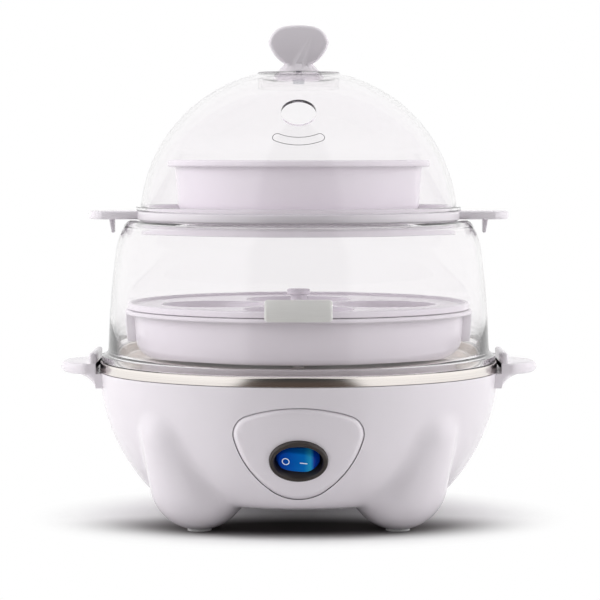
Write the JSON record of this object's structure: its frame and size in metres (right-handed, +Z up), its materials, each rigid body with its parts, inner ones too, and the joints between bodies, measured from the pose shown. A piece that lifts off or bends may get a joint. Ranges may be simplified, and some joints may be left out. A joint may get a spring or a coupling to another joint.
{
  "type": "two-tier egg cooker",
  "caption": "Electric two-tier egg cooker: white base with rocker switch and steel heating dish, clear ring, lift-out bowls and tray, upper tray and clear dome with knob.",
  "frame": {"origin": "on the floor under the middle of the round body", "axes": "+Z up, the switch faces -Y, the side handles lie along X"},
  "size_m": [0.2456, 0.2058, 0.2531],
  "materials": {
    "white_plastic": "gloss",
    "clear_plastic": "clear gloss",
    "steel": "brushed",
    "badge_metal": "satin",
    "black_plastic": "satin",
    "blue_plastic": "translucent gloss",
    "silicone": "matte",
    "black_rubber": "matte",
    "cast_aluminium": "cast",
    "zinc_steel": "zinc plated",
    "brass": "plain",
    "lamp_glass": "clear",
    "block_plastic": "matte",
    "live_wire": "matte",
    "neutral_wire": "matte",
    "ground_wire": "matte"
  },
  "bodies": {
    "base": {"base_housing": "white_plastic", "switch_panel": "white_plastic", "switch_housing": "black_plastic", "switch_terminals": "brass", "switch_lamp": "lamp_glass", "bottom_cover": "white_plastic", "cover_screws": "zinc_steel", "foot_pads": "silicone", "heating_plate": "steel", "plate_gasket": "silicone", "heat_spreader": "cast_aluminium", "heating_element": "zinc_steel", "element_terminals": "zinc_steel", "plate_studs": "zinc_steel", "stud_nuts": "zinc_steel", "heat_shield": "zinc_steel", "shield_posts": "zinc_steel", "shield_screws": "zinc_steel", "thermostat": "cast_aluminium", "thermostat_bracket": "zinc_steel", "thermal_fuse": "silicone", "fuse_clip": "zinc_steel", "terminal_block": "block_plastic", "block_screws": "brass", "buzzer": "black_plastic", "cord_grommet": "black_rubber", "wire_live": "live_wire", "wire_switched": "live_wire", "wire_neutral": "neutral_wire", "wire_ground": "ground_wire"},
    "rocker": {"switch_rocker": "blue_plastic"},
    "bowl": {"lower_bowl": "white_plastic"},
    "tray": {"poaching_tray": "white_plastic"},
    "ring": {"clear_ring": "clear_plastic", "badge_plate": "badge_metal"},
    "deck": {"upper_tray": "white_plastic"},
    "top_bowl": {"upper_bowl": "white_plastic"},
    "dome": {"dome_lid": "clear_plastic", "lid_knob": "white_plastic", "knob_washer": "white_plastic", "knob_screw": "zinc_steel"}
  },
  "joints": [
    {"name": "rocker_turn", "type": "hinge", "parent": "base", "child": "rocker", "pos_m": [0, -0.08973, 0.04258], "axis": [0, -0.4305, 0.9026], "range_deg": [0, 22]},
    {"name": "bowl_lift", "type": "slide", "parent": "base", "child": "bowl", "axis": [0, 0, 1], "range_m": [0, 0.06]},
    {"name": "tray_lift", "type": "slide", "parent": "bowl", "child": "tray", "axis": [0, 0, 1], "range_m": [0, 0.04]},
    {"name": "ring_lift", "type": "slide", "parent": "tray", "child": "ring", "axis": [0, 0, 1], "range_m": [0, 0.05]},
    {"name": "deck_lift", "type": "slide", "parent": "ring", "child": "deck", "axis": [0, 0, 1], "range_m": [0, 0.03]},
    {"name": "top_bowl_lift", "type": "slide", "parent": "deck", "child": "top_bowl", "axis": [0, 0, 1], "range_m": [0, 0.05]},
    {"name": "dome_lift", "type": "slide", "parent": "top_bowl", "child": "dome", "axis": [0, 0, 1], "range_m": [0, 0.06]}
  ]
}
